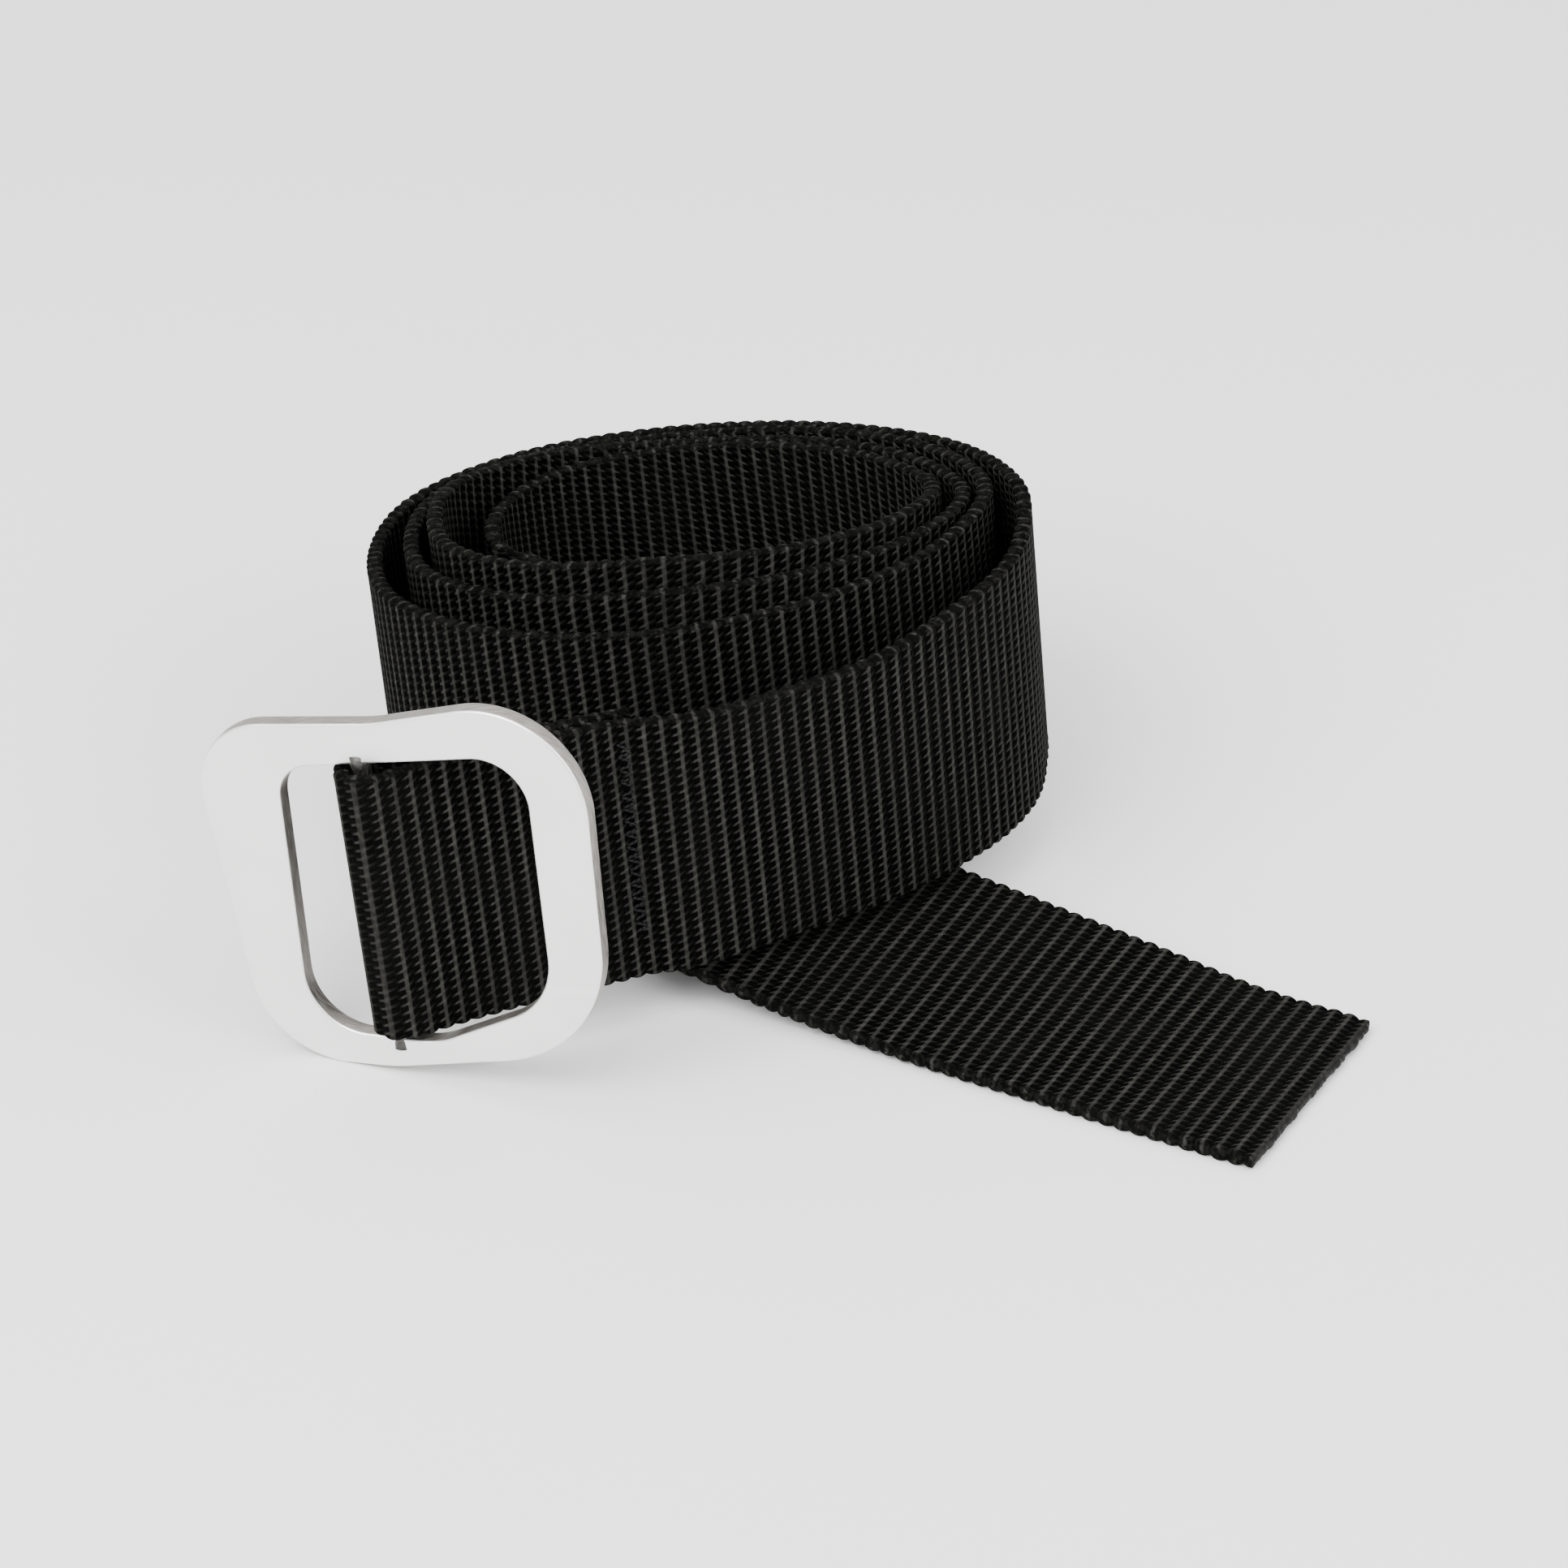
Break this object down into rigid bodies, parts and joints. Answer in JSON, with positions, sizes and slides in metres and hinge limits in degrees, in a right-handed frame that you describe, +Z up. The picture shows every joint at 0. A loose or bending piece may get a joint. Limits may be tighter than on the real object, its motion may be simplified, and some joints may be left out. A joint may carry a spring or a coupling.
{
  "type": "rolled webbing belt",
  "caption": "Rolled black webbing belt standing on its edge, with a flat aluminium frame buckle sewn on and a loose cut end.",
  "frame": {"origin": "on the floor, below the middle of the whole belt's bounding box", "axes": "+Z up, +X from the buckle's side towards the tail's cut end, +Y from the buckle's side towards the back of the roll"},
  "size_m": [0.1514, 0.138, 0.0556],
  "materials": {
    "webbing": "ribbed woven nylon, matt black",
    "buckle": "satin",
    "thread": "bonded nylon thread, black"
  },
  "bodies": {
    "roll": {"webbing_turn_1": "webbing", "webbing_turn_2": "webbing", "webbing_turn_3": "webbing", "webbing_inner_run": "webbing"},
    "lead": {"webbing_lead": "webbing", "needle_thread": "thread", "bobbin_thread": "thread"},
    "buckle": {"buckle_frame": "buckle"},
    "tail": {"webbing_tail": "webbing"}
  },
  "joints": [
    {"name": "lead_unroll", "type": "hinge", "parent": "roll", "child": "lead", "pos_m": [0.03412, 0.0281, 0.0291], "axis": [-0.0938, 0.0833, 0.9921], "range_deg": [0, 30]},
    {"name": "buckle_swing", "type": "hinge", "parent": "lead", "child": "buckle", "pos_m": [-0.05253, -0.04438, 0.02489], "axis": [0.0982, -0.0358, -0.9945], "range_deg": [0, 50]},
    {"name": "tail_lift", "type": "hinge", "parent": "roll", "child": "tail", "pos_m": [0.02291, -0.02794, 0.00483], "axis": [-0.4878, -0.8657, -0.1124], "range_deg": [0, 30]}
  ]
}
